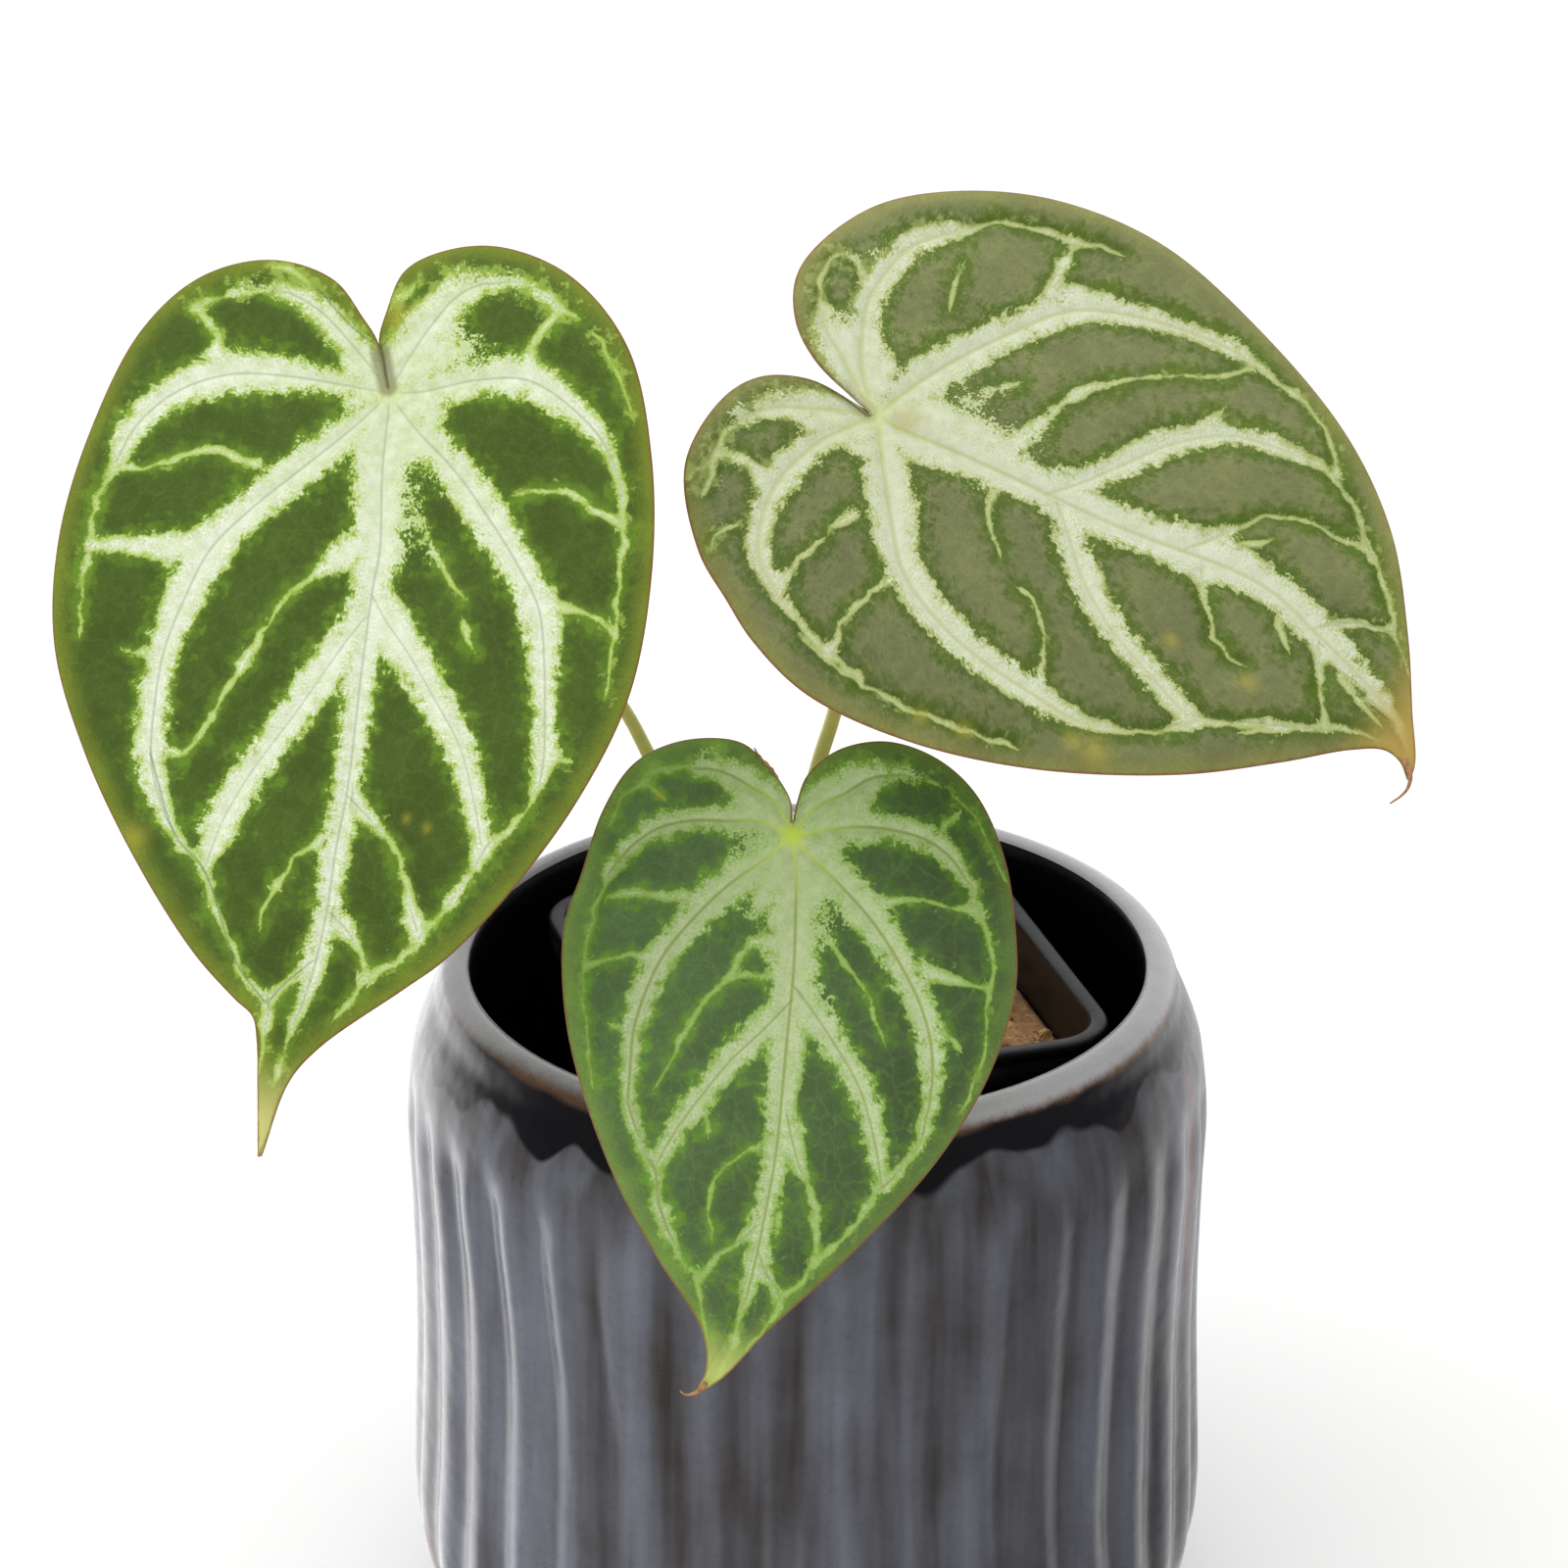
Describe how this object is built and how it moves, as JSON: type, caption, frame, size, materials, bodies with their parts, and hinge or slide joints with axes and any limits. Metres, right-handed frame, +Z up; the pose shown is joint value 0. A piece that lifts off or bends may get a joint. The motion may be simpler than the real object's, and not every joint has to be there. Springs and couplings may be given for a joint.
{
  "type": "potted anthurium",
  "caption": "Small silver-veined anthurium with heart-shaped leaves, in a square nursery pot standing in a round ribbed and glazed cover pot.",
  "frame": {"origin": "middle of the cover pot's flat base, on the surface that it stands on", "axes": "+Z up; -Y to the front, the way the leaves lean; +X to the viewer's right, seen from the front"},
  "size_m": [0.2056, 0.1698, 0.2545],
  "materials": {
    "glazed_pot": "gloss",
    "black_plastic": "satin",
    "bark_mix": "matte",
    "crown_stem": "matte",
    "petiole": "satin",
    "leaf": "satin"
  },
  "bodies": {
    "root": {"cover_pot": "glazed_pot", "nursery_pot": "black_plastic", "potting_mix": "bark_mix", "crown": "crown_stem", "petiole_left": "petiole", "petiole_centre": "petiole", "petiole_right": "petiole", "blade_left": "leaf", "blade_centre": "leaf", "blade_right": "leaf"}
  },
  "joints": []
}
